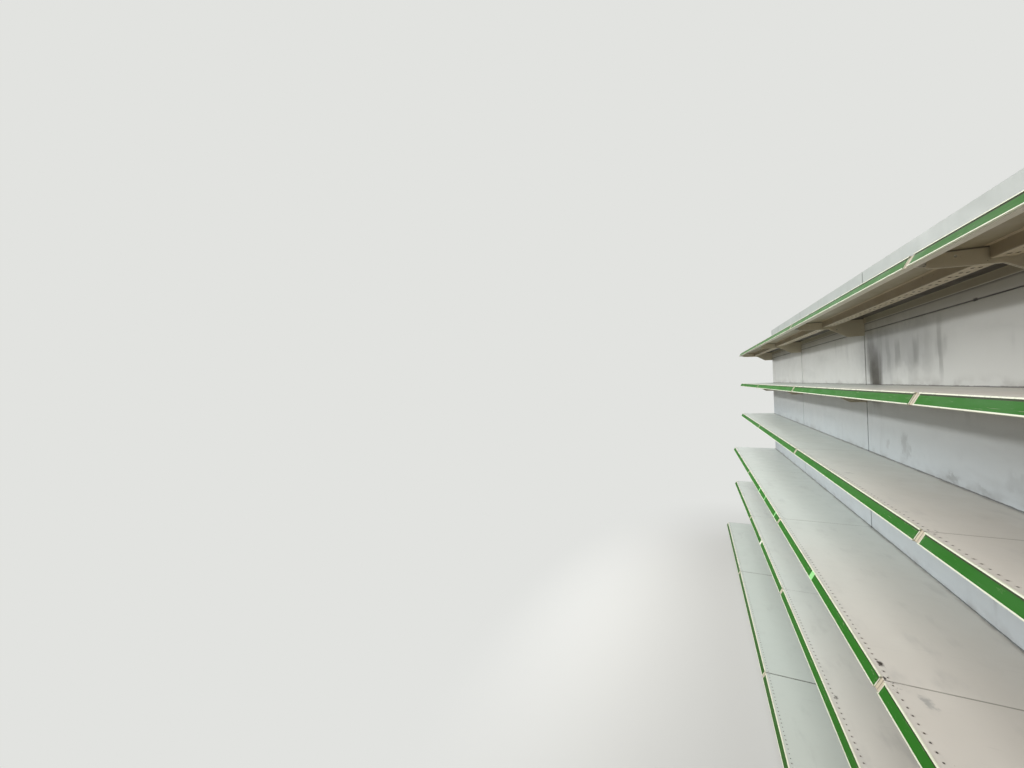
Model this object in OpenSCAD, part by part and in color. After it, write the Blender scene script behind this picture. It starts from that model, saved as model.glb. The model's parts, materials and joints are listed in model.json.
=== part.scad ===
// Run of steel shop wall shelving: slotted uprights on base legs, folded back panels,
// a base deck and five rows of hung shelves with a price channel along every front.
// X runs along the shelving, -Y is the side the shopper stands on, Z is up from the floor.

/* [Run] */
// Number of bays standing side by side
bays = 4; // [2:1:6]
// Length of one bay, from the middle of one upright to the next
bay_len = 1330; // [800:10:1400]
// Gap between the decks of two neighbouring bays
deck_joint = 1.5; // [0.5:0.1:3]

/* [Uprights] */
// Height of the uprights above the floor
upright_h = 2400; // [2380:5:2600]
// Width of an upright, along the run
upright_w = 30; // [26:1:40]
// Depth of an upright, front to back
upright_d = 60; // [40:1:90]
// Wall thickness of an upright
upright_wall = 2; // [1.5:0.1:3]
// Radius of the rounded corners of an upright
upright_r = 4; // [3.5:0.5:6]
// Distance from one slot to the next, up an upright
slot_pitch = 50; // [46:1:54]
// Width of a slot
slot_w = 12; // [11.5:0.1:14]
// Height of a slot
slot_h = 24; // [22:0.5:30]
// Solid length of an upright above its last slot
slot_top_margin = 35; // [25:1:60]
// Height of the plastic cap on an upright
cap_h = 8; // [5:1:12]
// Width of the bevel round the top of a cap
cap_bevel = 2; // [1:0.5:3]

/* [Base] */
// Height of the base deck above the floor
base_h = 170; // [160:1:200]
// Depth of the base deck, from the back panels to its front edge
base_depth = 500; // [440:5:560]
// Width of a base leg, along the run
leg_w = 28; // [24:1:34]
// Wall thickness of a base leg
leg_wall = 1.5; // [1.2:0.1:3]
// Radius of the rounded corners of a base leg
leg_r = 4; // [3.5:0.5:6]
// Space under the base legs, which the levelling feet fill
foot_h = 25; // [22:1:32]
// Radius of the disc of a levelling foot
foot_r = 20; // [15:0.5:24]
// Height of the disc of a levelling foot
foot_disc_h = 7; // [5:0.5:9]
// Height of the rim round the disc of a levelling foot
foot_rim_h = 3; // [2:0.5:4]
// Distance from the front end of a base leg to the disc of its front levelling foot
foot_inset = 15; // [5:1:40]
// Radius of the threaded stem of a levelling foot
stem_r = 5; // [4:0.5:6]
// Length of the stem that stands inside a base leg or upright
stem_rise = 12; // [8:1:20]
// Radius of the nut of a levelling foot, measured over its corners
nut_r = 9; // [8:0.5:11]
// Height of the nut of a levelling foot
nut_h = 7; // [5:0.5:8]
// Distance of the kick plates behind the front edge of the base deck
kick_setback = 20; // [10:1:40]
// Gap between the kick plates and the floor
kick_floor_gap = 8; // [4:1:15]
// Gap between the kick plates and the front edge of the base deck above them
kick_top_gap = 4; // [2:1:10]
// Depth of the folded edges of a kick plate
kick_fold = 12; // [8:1:20]

/* [Back panels] */
// Height of each of the two panels in the middle of a bay
panel_h = 650; // [560:5:740]
// Height of the top panel of a bay
top_panel_h = 318; // [200:2:400]
// Height by which the top panels stand above the uprights
panel_rise = 18; // [5:1:30]
// Height of the lower edge of the bottom panels above the floor
panel_z = 150; // [140:1:158]
// Depth of the folded edges of a back panel
panel_fold = 15; // [12:1:20]
// Gap between the panels of two neighbouring bays, where the brackets pass
panel_gap = 9; // [8.6:0.1:10]
// Gap between a panel and the one above it
panel_joint = 2; // [1:0.1:4]
// Width of the flange with which a panel rests on an upright
panel_flange = 9; // [6:0.5:10]
// Least distance from the lower or upper edge of a panel to its lugs
lug_margin = 30; // [20:1:45]

/* [Sheet steel] */
// Thickness of the folded sheet steel
sheet = 1; // [0.8:0.1:1.5]
// Inside radius of every fold
bend_r = 1; // [0.5:0.1:1.5]

/* [Shelves] */
// Depth of the two lower rows of shelves
lower_depth = 400; // [340:5:440]
// Depth of the three upper rows of shelves
upper_depth = 310; // [260:5:340]
// Slots from the base deck up to the first row of shelves
row_1 = 10; // [8:1:12]
// Slots from the base deck up to the second row of shelves
row_2 = 18; // [16:1:20]
// Slots from the base deck up to the third row of shelves
row_3 = 26; // [24:1:28]
// Slots from the base deck up to the fourth row of shelves
row_4 = 33; // [31:1:35]
// Slots from the base deck up to the fifth row of shelves
row_5 = 40; // [38:1:42]
// Height of the sloping front face of a shelf
front_h = 32; // [27:0.5:33.5]
// Distance by which the sloping front leans out at its foot
front_lean = 16.5; // [12:0.5:22]
// Width of the hem folded back under the front
hem_w = 21; // [16:0.5:30]
// Height of the edge turned up at the back of the hem
hem_upturn = 7; // [4:0.5:12]
// Depth of the fold along the back edge of a shelf
rear_fold = 29; // [20:0.5:33]
// Gap between the back edge of a shelf and the back panels
rear_gap = 1; // [0.5:0.1:3]
// Depth of the folds at the two ends of a shelf
end_fold = 34; // [32.5:0.5:38]
// Distance by which the lower edge of an end fold slants back behind the hem
end_slant = 6; // [2:1:20]
// Radius of the lock hole in an end fold
lock_hole_r = 3; // [2:0.5:4]
// Distance of the lock hole behind the front edge
lock_hole_back = 75; // [60:1:110]
// Distance from one slot to the next along the front of a shelf
deck_slot_pitch = 25; // [20:1:50]
// Length of such a slot, along the shelf
deck_slot_l = 5.5; // [5:0.5:9]
// Width of such a slot, front to back
deck_slot_w = 4.5; // [3:0.5:4.5]
// Distance of these slots behind the front edge
deck_slot_back = 13; // [10:1:40]
// Least distance from the end of a shelf to its first slot
deck_slot_margin = 12; // [8:1:30]

/* [Stiffeners] */
// Width of the hat-shaped stiffener welded under a shelf
stiffener_w = 46; // [36:1:60]
// Height of that stiffener
stiffener_h = 32; // [24:0.5:36]
// Width of each of its welded flanges
stiffener_flange = 12; // [8:1:16]
// Distance from the end of a shelf to the end of its stiffener
stiffener_inset = 8; // [6:0.5:20]
// Distance from one pair of slots to the next along a stiffener
pair_pitch = 50; // [30:1:80]
// Length of a slot of a pair, along the shelf
pair_slot_l = 12; // [9:0.5:16]
// Width of a slot of a pair, front to back
pair_slot_w = 8; // [5:0.5:8.5]
// Distance between the middles of the two slots of a pair
pair_apart = 14; // [10:0.5:20]
// Least distance from the end of a stiffener to its first pair of slots
pair_margin = 15; // [10:1:40]

/* [Brackets] */
// Thickness of a bracket
bracket_t = 2; // [1.5:0.1:2.4]
// Distance from the end of a shelf to its bracket
bracket_inset = 1.3; // [1.1:0.1:1.6]
// Height of a bracket at its front
bracket_front_h = 40; // [36:1:44]
// Height of a bracket at the upright, below its last hook
bracket_heel = 12; // [8:1:20]
// Length of the deep rear part of a bracket
bracket_root = 70; // [40:1:110]
// Length over which a bracket tapers from its deep rear part to its arm
bracket_taper = 80; // [30:1:90]
// Depth that the arm of a bracket gains towards the rear
bracket_flare = 5; // [0:0.5:8]
// Radius of the rounded corners of a bracket
bracket_r = 7; // [3:0.5:10]
// Distance of the front end of a bracket behind the front edge of its shelf
bracket_nose = 22; // [18:1:40]
// Height of the deck above the edge of the slot that carries it
hook_drop = 30; // [26:0.5:32]
// Height of the neck of a hook
neck_h = 12; // [9:0.5:16]
// Length of the tip of a hook, below its neck
hook_tip = 8; // [5:0.5:10]
// Thickness of the tip of a hook
hook_t = 5; // [3:0.5:8]
// Bevel at the end of the tip, which leads it through a slot
hook_bevel = 2; // [1:0.5:2.5]

/* [Price channels] */
// Distance from the end of a shelf to the end of its price channel
channel_inset = 11; // [5:1:40]
// Distance from the edges of a shelf's front to the edges of its price channel
channel_edge = 0.6; // [0.2:0.1:1.5]
// Thickness of the plastic of a price channel
channel_t = 1; // [0.8:0.1:1.5]
// Height of the lower lip of a price channel over its face
channel_lip = 2.6; // [2.4:0.1:4]
// Distance by which a lip covers the coloured insert
lip_cover = 2; // [1:0.1:3]
// Width of the upper lip that lies back over the deck
nose_w = 1.5; // [1:0.5:8]
// Thickness of that lip
nose_t = 1.2; // [0.8:0.1:1.5]
// Thickness of the coloured insert
insert_t = 0.8; // [0.5:0.1:1.2]
// Distance from the end of a price channel to the end of its insert
insert_inset = 4; // [0.5:0.5:10]

/* [Fits] */
// Clearance between a piece and what it rests on
seat = 0.3; // [0.1:0.05:0.5]
// Clearance round a hook inside an upright
hook_clear = 0.5; // [0.3:0.1:1]

/* [Hidden] */
$fn = 32;

// Flat steps that make up the curve of a fold, and the overshoot of a cut
bend_steps = 3;
cut = 1;

run_len = bays * bay_len;
deck_len = bay_len - deck_joint;
panel_len = bay_len - panel_gap;
top_panel_z = upright_h + panel_rise - top_panel_h;
bottom_panel_h = top_panel_z - panel_z - 2 * panel_h;

// Slope of the shelf fronts, and the price channels that lie on it
slope = atan(front_lean / front_h);
slope_len = norm([front_lean, front_h]);
channel_foot = slope_len - channel_edge;
channel_face = seat + channel_t;
channel_out = channel_face + channel_lip;

// Heights that follow from the slots
leg_top = base_h - end_fold - seat;
leg_h = leg_top - foot_h;
slot_first = base_h - hook_drop - 2 * slot_pitch;
slot_count = 1 + floor((upright_h - slot_top_margin - slot_h - slot_first) / slot_pitch);

// Depths measured from the front face of the back panels
upright_front = panel_fold;
piece_back = upright_front - seat;
front_reach = base_depth + channel_foot * sin(slope) + channel_out * cos(slope);
rear_reach = upright_front + upright_d;
panel_face_y = (front_reach - rear_reach) / 2;
kick_y = -(base_depth - kick_setback);
leg_front = kick_y + kick_fold + seat;

// X of the middle of upright number i, counted from the left end
function upright_x(i) = i * bay_len - run_len / 2;

// X of the middle of bay number i
function bay_x(i) = (i + 0.5) * bay_len - run_len / 2;

// Height of the deck that hangs a number of slots above the base deck
function deck_z(row) = base_h + row * slot_pitch;

// Lower edge of the first slot at or above a height
function slot_at(z) = slot_first + ceil((z - slot_first) / slot_pitch) * slot_pitch;

// Lower edge of the last slot that ends below a height
function slot_below(z) = slot_first + floor((z - slot_h - slot_first) / slot_pitch) * slot_pitch;

// Directions in a plane, and the angle by which a path turns to the left from u to v
function unit(v) = v / norm(v);
function left_of(v) = [-v[1], v[0]];
function turned(v, angle) = [v[0] * cos(angle) - v[1] * sin(angle), v[0] * sin(angle) + v[1] * cos(angle)];
function turn_between(u, v) = atan2(u[0] * v[1] - u[1] * v[0], u[0] * v[0] + u[1] * v[1]);

// Points of the curve that rounds a path at its corner q, moved to the left by inset.
// A turn to the left has the radius left_r on the path itself, and one to the right has right_r.
function corner_curve(p, q, s, inset, left_r, right_r) =
    let (
        u = unit(q - p),
        turn = turn_between(u, unit(s - q)),
        side = sign(turn),
        r = side > 0 ? left_r : right_r,
        centre = q - u * r * tan(abs(turn) / 2) + side * r * left_of(u)
    )
    [for (k = [0 : bend_steps])
        centre - side * (r - side * inset) * left_of(turned(u, turn * k / bend_steps))];

// A path with its corners rounded, moved to the left by inset
function rounded_path(path, inset, left_r, right_r) =
    let (last = len(path) - 1)
    concat(
        [path[0] + inset * left_of(unit(path[1] - path[0]))],
        [for (k = [1 : last - 1])
            each corner_curve(path[k - 1], path[k], path[k + 1], inset, left_r, right_r)],
        [path[last] + inset * left_of(unit(path[last] - path[last - 1]))]
    );

// The face of a folded sheet that follows a path, and the face a distance to the left of it
function folded_face(path, inset) = rounded_path(path, inset, bend_r + sheet, bend_r);

// Outline of a folded sheet that lies to the left of a path
module folded_sheet(path) {
    far_face = folded_face(path, sheet);
    polygon(concat(folded_face(path, 0), [for (k = [len(far_face) - 1 : -1 : 0]) far_face[k]]));
}

// Side outline, drawn in Y and Z, made into a plate or bar that is centred on X
module across(length) {
    rotate([90, 0, 90]) translate([0, 0, -length / 2]) linear_extrude(length) children();
}

// Front outline, drawn in X and Z, made into a bar that is centred on Y
module along_depth(length) {
    rotate([90, 0, 0]) translate([0, 0, -length / 2]) linear_extrude(length) children();
}

// Rectangle with rounded corners, centred
module rounded_rectangle(w, d, r) {
    square([w, d - 2 * r], center = true);
    square([w - 2 * r, d], center = true);
    for (x = [-1, 1], y = [-1, 1]) translate([x * (w / 2 - r), y * (d / 2 - r)]) circle(r = r);
}

// Outline of the wall of a rounded tube, centred
module tube_outline(w, d, wall, r) {
    difference() {
        rounded_rectangle(w, d, r);
        rounded_rectangle(w - 2 * wall, d - 2 * wall, r - wall);
    }
}

// Slot with round ends that is long along X, centred
module slot(long, wide) {
    square([long - wide, wide], center = true);
    for (end = [-1, 1]) translate([end * (long - wide) / 2, 0]) circle(d = wide);
}

// As many copies as fit into a length along X at a pitch, spread evenly about the middle
module row_along(length, pitch) {
    count = 1 + floor(length / pitch);
    for (k = [0 : count - 1]) translate([(k - (count - 1) / 2) * pitch, 0, 0]) children();
}

// Move from the front face of the back panels to the middle of the whole run
module in_run() {
    translate([0, panel_face_y, 0]) children();
}

// One copy in every bay
module each_bay() {
    for (i = [0 : bays - 1]) translate([bay_x(i), 0, 0]) children();
}

// Outline of a hook: a neck through the wall of the upright and a bevelled tip behind it.
// Its root lies inside the piece that it is cut from.
module hook(slot_z, root) {
    back = upright_front + upright_wall + hook_clear;
    neck_z = slot_z + seat;
    tip_z = neck_z - hook_tip;
    polygon([
        [piece_back - root, neck_z], [back, neck_z], [back, tip_z],
        [back + hook_t - hook_bevel, tip_z], [back + hook_t, tip_z + 2 * hook_bevel],
        [back + hook_t, neck_z + neck_h], [piece_back - root, neck_z + neck_h]
    ]);
}

// One slotted upright: a tube with a foot plate and a row of slots in its front wall
module upright(i) {
    color("gainsboro")
    in_run() translate([upright_x(i), upright_front + upright_d / 2, 0])
    difference() {
        union() {
            translate([0, 0, foot_h]) linear_extrude(upright_h - foot_h)
                tube_outline(upright_w, upright_d, upright_wall, upright_r);
            translate([0, 0, foot_h]) linear_extrude(upright_wall)
                rounded_rectangle(upright_w, upright_d, upright_r);
        }
        for (k = [0 : slot_count - 1])
            translate([-slot_w / 2, -upright_d / 2 - cut, slot_first + k * slot_pitch])
                cube([slot_w, upright_wall + 2 * cut, slot_h]);
        translate([0, 0, foot_h - cut]) cylinder(h = upright_wall + 2 * cut, r = stem_r + seat);
    }
}

module left_end_upright() { upright(0); }

module middle_uprights() { for (i = [1 : bays - 1]) upright(i); }

module right_end_upright() { upright(bays); }

// Outline of the bevelled head of a cap
module cap_outline(width) {
    half = width / 2;
    polygon([
        [-half, 0], [half, 0], [half, cap_h - cap_bevel], [half - cap_bevel, cap_h],
        [-half + cap_bevel, cap_h], [-half, cap_h - cap_bevel]
    ]);
}

// Plastic caps that close the tops of the uprights
module upright_caps() {
    skirt = upright_wall + seat;
    color("darkgray")
    in_run() for (i = [0 : bays])
        translate([upright_x(i), upright_front + upright_d / 2, upright_h + seat]) {
            intersection() {
                linear_extrude(cap_h) rounded_rectangle(upright_w, upright_d, upright_r);
                across(upright_w) cap_outline(upright_d);
                along_depth(upright_d) cap_outline(upright_w);
            }
            translate([0, 0, -cap_h]) linear_extrude(cap_h + cap_bevel)
                rounded_rectangle(upright_w - 2 * skirt, upright_d - 2 * skirt, upright_r - upright_wall);
        }
}

// One base leg: a tube that hooks into the two lowest slots of its upright
module base_leg(i) {
    length = piece_back - leg_front;
    color("silver")
    in_run() translate([upright_x(i), 0, 0]) {
        difference() {
            translate([0, leg_front + length / 2, foot_h + leg_h / 2]) along_depth(length)
                tube_outline(leg_w, leg_h, leg_wall, leg_r);
            translate([0, front_foot_y(), foot_h - cut])
                cylinder(h = leg_wall + 2 * cut, r = stem_r + seat);
        }
        translate([0, piece_back - leg_wall / 2, foot_h + leg_h / 2]) along_depth(leg_wall)
            rounded_rectangle(leg_w, leg_h, leg_r);
        across(2 * bracket_t) for (k = [0, 1]) hook(slot_first + k * slot_pitch, leg_wall / 2);
    }
}

module left_end_leg() { base_leg(0); }

module middle_legs() { for (i = [1 : bays - 1]) base_leg(i); }

module right_end_leg() { base_leg(bays); }

// Y of the front levelling feet
function front_foot_y() = leg_front + foot_r + foot_inset;

// One levelling foot: a domed disc, a hexagon nut below the leg and a stem that goes into it
module levelling_foot() {
    rotate_extrude() polygon([
        [0, 0], [foot_r, 0], [foot_r, foot_rim_h], [nut_r, foot_disc_h], [0, foot_disc_h]
    ]);
    cylinder(h = foot_h + stem_rise, r = stem_r);
    translate([0, 0, foot_h - seat - nut_h]) cylinder(h = nut_h, r = nut_r, $fn = 6);
}

module levelling_feet() {
    color("dimgray")
    in_run() for (i = [0 : bays]) {
        translate([upright_x(i), front_foot_y(), 0]) levelling_foot();
        translate([upright_x(i), upright_front + upright_d / 2, 0]) levelling_foot();
    }
}

// Kick plates: folded sheets that close the space below the base decks
module kick_plates() {
    kick_h = base_h - front_h - kick_top_gap - kick_floor_gap;
    color("lightgray")
    in_run() each_bay() across(deck_len) translate([kick_y, kick_floor_gap])
        folded_sheet([[kick_fold, kick_h], [0, kick_h], [0, 0], [kick_fold, 0]]);
}

// Block with the rounded front edges of a panel that is folded back on its four sides
module panel_block(height, back, inset) {
    half = panel_len / 2;
    plan = [[-half, back], [-half, 0], [half, 0], [half, back]];
    side = [[back, height], [0, height], [0, 0], [back, 0]];
    intersection() {
        linear_extrude(height) polygon(folded_face(plan, inset));
        across(panel_len) polygon(folded_face(side, inset));
    }
}

// One back panel, folded back on its four sides, with flanges and lugs at the uprights
module back_panel(z, height) {
    body_h = height - panel_joint;
    half = panel_len / 2;
    lugs = [slot_at(z + lug_margin), slot_below(z + body_h - lug_margin)];
    translate([0, 0, z]) difference() {
        panel_block(body_h, piece_back, 0);
        panel_block(body_h, piece_back + cut, sheet);
    }
    for (side = [-1, 1]) {
        translate([side * (half - panel_flange / 2) - panel_flange / 2, piece_back - sheet, z])
            cube([panel_flange, sheet, body_h]);
        translate([side * (half - sheet / 2), 0, 0])
            across(sheet) for (slot_z = lugs) hook(slot_z, panel_fold / 2);
    }
}

// One row of back panels, one panel in each bay
module panel_row(z, height) {
    color("whitesmoke")
    in_run() each_bay() back_panel(z, height);
}

module bottom_back_panels() { panel_row(panel_z, bottom_panel_h); }

module lower_back_panels() { panel_row(top_panel_z - 2 * panel_h, panel_h); }

module upper_back_panels() { panel_row(top_panel_z - panel_h, panel_h); }

module top_back_panels() { panel_row(top_panel_z, top_panel_h); }

// Path of the folded sheet of a shelf, seen from its end, with the deck at Z = 0
function front_path(depth) = [
    [-rear_gap, 0], [-depth, 0], [-depth - front_lean, -front_h], [-depth - front_lean + hem_w, -front_h]
];

// One shelf: the folded sheet with its row of slots, and its two end folds.
// The rear fold is cut away at the ends, where the brackets pass.
module deck(depth) {
    path = front_path(depth);
    hem_end = path[3];
    notch = bracket_inset + bracket_t + seat - sheet;
    difference() {
        across(deck_len) folded_sheet(concat(
            [[-rear_gap, -rear_fold]], path, [hem_end + [0, hem_upturn]]
        ));
        row_along(deck_len - 2 * deck_slot_margin, deck_slot_pitch)
            translate([0, -depth + deck_slot_back, -sheet - cut])
                linear_extrude(sheet + 2 * cut) slot(deck_slot_l, deck_slot_w);
        for (side = [-1, 1])
            translate([
                side * (deck_len / 2 - sheet - notch / 2) - notch / 2,
                -rear_gap - sheet - bend_r - cut, -rear_fold - cut
            ])
                cube([notch, sheet + bend_r + 2 * cut, rear_fold + cut - sheet]);
    }
    for (side = [-1, 1]) translate([side * (deck_len - sheet) / 2, 0, 0]) across(sheet) difference() {
        polygon(folded_face(concat(
            [[-rear_gap, -end_fold]], path, [[hem_end[0] + end_slant, -end_fold]]
        ), 0));
        translate([-depth + lock_hole_back, -end_fold / 2]) circle(r = lock_hole_r);
    }
}

module deck_row(z, depth) {
    color("gainsboro")
    in_run() each_bay() translate([0, 0, z]) deck(depth);
}

module base_decks() { deck_row(base_h, base_depth); }

module shelf_1_decks() { deck_row(deck_z(row_1), lower_depth); }

module shelf_2_decks() { deck_row(deck_z(row_2), lower_depth); }

module shelf_3_decks() { deck_row(deck_z(row_3), upper_depth); }

module shelf_4_decks() { deck_row(deck_z(row_4), upper_depth); }

module shelf_5_decks() { deck_row(deck_z(row_5), upper_depth); }

// One hat-shaped stiffener below a deck at Z = 0, plain or with pairs of slots along it
module stiffener(with_slots) {
    half = stiffener_w / 2;
    length = deck_len - 2 * stiffener_inset;
    flange_z = -2 * sheet;
    foot_z = -sheet - stiffener_h;
    difference() {
        across(length) folded_sheet([
            [-half - stiffener_flange, flange_z], [-half, flange_z], [-half, foot_z],
            [half, foot_z], [half, flange_z], [half + stiffener_flange, flange_z]
        ]);
        if (with_slots) row_along(length - 2 * pair_margin, pair_pitch) for (side = [-1, 1])
            translate([0, side * pair_apart / 2, foot_z - cut])
                linear_extrude(sheet + 2 * cut) slot(pair_slot_l, pair_slot_w);
    }
}

// One row of stiffeners, one welded along the middle of each shelf
module stiffener_row(z, depth, with_slots) {
    color("lightgray")
    in_run() each_bay() translate([0, -depth / 2, z]) stiffener(with_slots);
}

module base_stiffeners() { stiffener_row(base_h, base_depth, false); }

module shelf_1_stiffeners() { stiffener_row(deck_z(row_1), lower_depth, false); }

module shelf_2_stiffeners() { stiffener_row(deck_z(row_2), lower_depth, false); }

module shelf_3_stiffeners() { stiffener_row(deck_z(row_3), upper_depth, true); }

module shelf_4_stiffeners() { stiffener_row(deck_z(row_4), upper_depth, true); }

module shelf_5_stiffeners() { stiffener_row(deck_z(row_5), upper_depth, true); }

// Outline of a bracket with its hooks, below a deck at Z = 0
module bracket_outline(depth, hooks) {
    top = -sheet - seat;
    nose = -depth + bracket_nose;
    rear_h = hook_drop + (hooks - 1) * slot_pitch + bracket_heel;
    difference() {
        union() {
            polygon(rounded_path([
                [piece_back, top], [nose, top], [nose, -bracket_front_h],
                [-bracket_root - bracket_taper, -bracket_front_h - bracket_flare],
                [-bracket_root, -rear_h], [piece_back, -rear_h]
            ], 0, bracket_r, bracket_r));
            for (k = [0 : hooks - 1]) hook(-hook_drop - k * slot_pitch, bracket_root / 2);
        }
        translate([-depth + lock_hole_back, -end_fold / 2]) circle(r = lock_hole_r);
    }
}

// One row of brackets, one under each end of each shelf
module bracket_row(z, depth, hooks) {
    x = deck_len / 2 - bracket_inset - bracket_t / 2;
    color("gainsboro")
    in_run() each_bay() for (side = [-1, 1])
        translate([side * x, 0, z]) across(bracket_t) bracket_outline(depth, hooks);
}

module shelf_1_brackets() { bracket_row(deck_z(row_1), lower_depth, 3); }

module shelf_2_brackets() { bracket_row(deck_z(row_2), lower_depth, 3); }

module shelf_3_brackets() { bracket_row(deck_z(row_3), upper_depth, 2); }

module shelf_4_brackets() { bracket_row(deck_z(row_4), upper_depth, 2); }

module shelf_5_brackets() { bracket_row(deck_z(row_5), upper_depth, 2); }

// Point that lies down by s along a shelf's sloping front and out from it by n
function on_front(depth, s, n) = [-depth - s * sin(slope) - n * cos(slope), -s * cos(slope) + n * sin(slope)];

// How far down its sloping front a face at distance n from it reaches a height
function down_to(z, n) = (n * sin(slope) - z) / cos(slope);

// Outline of a price channel: a lip back over the deck, a face down the front and a lip at its foot
module channel_outline(depth) {
    top = channel_edge;
    foot = channel_foot;
    cover = channel_t + lip_cover;
    lip_back = channel_out - channel_t;
    polygon([
        [-depth + nose_w, seat], on_front(depth, down_to(seat, seat), seat),
        on_front(depth, foot, seat), on_front(depth, foot, channel_out),
        on_front(depth, foot - cover, channel_out), on_front(depth, foot - cover, lip_back),
        on_front(depth, foot - channel_t, lip_back), on_front(depth, foot - channel_t, channel_face),
        on_front(depth, top + channel_t, channel_face), on_front(depth, top + channel_t, lip_back),
        on_front(depth, top + cover, lip_back), on_front(depth, top + cover, channel_out),
        on_front(depth, down_to(seat + nose_t, channel_out), channel_out), [-depth + nose_w, seat + nose_t]
    ]);
}

// One row of price channels, one along the front of each shelf
module channel_row(z, depth) {
    color("ivory")
    in_run() each_bay() translate([0, 0, z]) across(deck_len - 2 * channel_inset) channel_outline(depth);
}

module base_price_channels() { channel_row(base_h, base_depth); }

module shelf_1_price_channels() { channel_row(deck_z(row_1), lower_depth); }

module shelf_2_price_channels() { channel_row(deck_z(row_2), lower_depth); }

module shelf_3_price_channels() { channel_row(deck_z(row_3), upper_depth); }

module shelf_4_price_channels() { channel_row(deck_z(row_4), upper_depth); }

module shelf_5_price_channels() { channel_row(deck_z(row_5), upper_depth); }

// Outline of the coloured insert that stands between the lips of a price channel
module insert_outline(depth) {
    top = channel_edge + channel_t + seat;
    foot = channel_foot - channel_t - seat;
    back = channel_face + seat;
    front = back + insert_t;
    polygon([
        on_front(depth, top, back), on_front(depth, foot, back),
        on_front(depth, foot, front), on_front(depth, top, front)
    ]);
}

// One row of coloured inserts, one in each price channel
module insert_row(z, depth) {
    color("forestgreen")
    in_run() each_bay() translate([0, 0, z])
        across(deck_len - 2 * channel_inset - 2 * insert_inset) insert_outline(depth);
}

module base_price_inserts() { insert_row(base_h, base_depth); }

module shelf_1_price_inserts() { insert_row(deck_z(row_1), lower_depth); }

module shelf_2_price_inserts() { insert_row(deck_z(row_2), lower_depth); }

module shelf_3_price_inserts() { insert_row(deck_z(row_3), upper_depth); }

module shelf_4_price_inserts() { insert_row(deck_z(row_4), upper_depth); }

module shelf_5_price_inserts() { insert_row(deck_z(row_5), upper_depth); }

left_end_upright();
middle_uprights();
right_end_upright();
upright_caps();
left_end_leg();
middle_legs();
right_end_leg();
levelling_feet();
kick_plates();
bottom_back_panels();
lower_back_panels();
upper_back_panels();
top_back_panels();
base_decks();
shelf_1_decks();
shelf_2_decks();
shelf_3_decks();
shelf_4_decks();
shelf_5_decks();
base_stiffeners();
shelf_1_stiffeners();
shelf_2_stiffeners();
shelf_3_stiffeners();
shelf_4_stiffeners();
shelf_5_stiffeners();
shelf_1_brackets();
shelf_2_brackets();
shelf_3_brackets();
shelf_4_brackets();
shelf_5_brackets();
base_price_channels();
shelf_1_price_channels();
shelf_2_price_channels();
shelf_3_price_channels();
shelf_4_price_channels();
shelf_5_price_channels();
base_price_inserts();
shelf_1_price_inserts();
shelf_2_price_inserts();
shelf_3_price_inserts();
shelf_4_price_inserts();
shelf_5_price_inserts();
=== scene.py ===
"""Shop wall shelving: finishes, small fittings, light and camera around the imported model.

Everything is in metres. X runs along the shelving, -Y is the open front and +Y the wall side.
"""

import json
import math

import bpy
from mathutils import Matrix, Vector


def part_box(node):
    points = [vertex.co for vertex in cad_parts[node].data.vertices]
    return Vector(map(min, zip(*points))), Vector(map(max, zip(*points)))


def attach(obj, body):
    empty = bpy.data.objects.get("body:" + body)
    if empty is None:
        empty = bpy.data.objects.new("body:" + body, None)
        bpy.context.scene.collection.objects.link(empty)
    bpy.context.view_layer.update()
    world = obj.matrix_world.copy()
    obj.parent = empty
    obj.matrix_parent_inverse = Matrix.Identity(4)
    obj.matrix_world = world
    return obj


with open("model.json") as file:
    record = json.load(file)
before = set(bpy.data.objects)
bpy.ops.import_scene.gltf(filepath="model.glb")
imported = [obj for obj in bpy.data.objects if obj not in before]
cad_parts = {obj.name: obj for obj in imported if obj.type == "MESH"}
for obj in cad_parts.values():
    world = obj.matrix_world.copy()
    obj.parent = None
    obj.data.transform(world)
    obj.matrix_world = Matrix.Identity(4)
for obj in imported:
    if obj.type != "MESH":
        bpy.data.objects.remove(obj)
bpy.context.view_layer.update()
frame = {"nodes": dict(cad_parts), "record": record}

# Sizes of the shelving
BAY_LENGTH = 1.330
BAYS = 4
RUN_END = BAYS * BAY_LENGTH / 2
BASE_DEPTH = 0.500
LOWER_DEPTH = 0.400
UPPER_DEPTH = 0.310
SHELF_DEPTH = {
    "base": BASE_DEPTH,
    "shelf_1": LOWER_DEPTH,
    "shelf_2": LOWER_DEPTH,
    "shelf_3": UPPER_DEPTH,
    "shelf_4": UPPER_DEPTH,
    "shelf_5": UPPER_DEPTH,
}
ROWS = tuple(SHELF_DEPTH)
HUNG_ROWS = ROWS[1:]
DECK_TOP = {row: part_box(row + "_decks")[1].z for row in ROWS}
PANEL_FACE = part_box("lower_back_panels")[0].y
DECK_EDGE = {row: PANEL_FACE - SHELF_DEPTH[row] for row in ROWS}
# Heights of the seams between the rows of panels
PANEL_SEAMS = tuple(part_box(row + "_back_panels")[0].z for row in ("lower", "upper", "top"))
SHEET = 0.001
FRONT_HEIGHT = 0.032
FRONT_LEAN = 0.0165
FRONT_SLOPE = math.atan2(FRONT_LEAN, FRONT_HEIGHT)
REAR_FOLD = 0.029
STIFFENER_HALF = 0.023
STIFFENER_FOOT = 0.033
FLANGE_WIDTH = 0.012
FOOT_DISC = 0.020
STEM_RADIUS = 0.005

# Slots along the front of the decks
SLOT_PITCH = 0.025
SLOT_BACK = 0.013
SLOT_LONG = 0.0055
SLOT_WIDE = 0.0045
SLOTS_IN_BAY = 53

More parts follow.
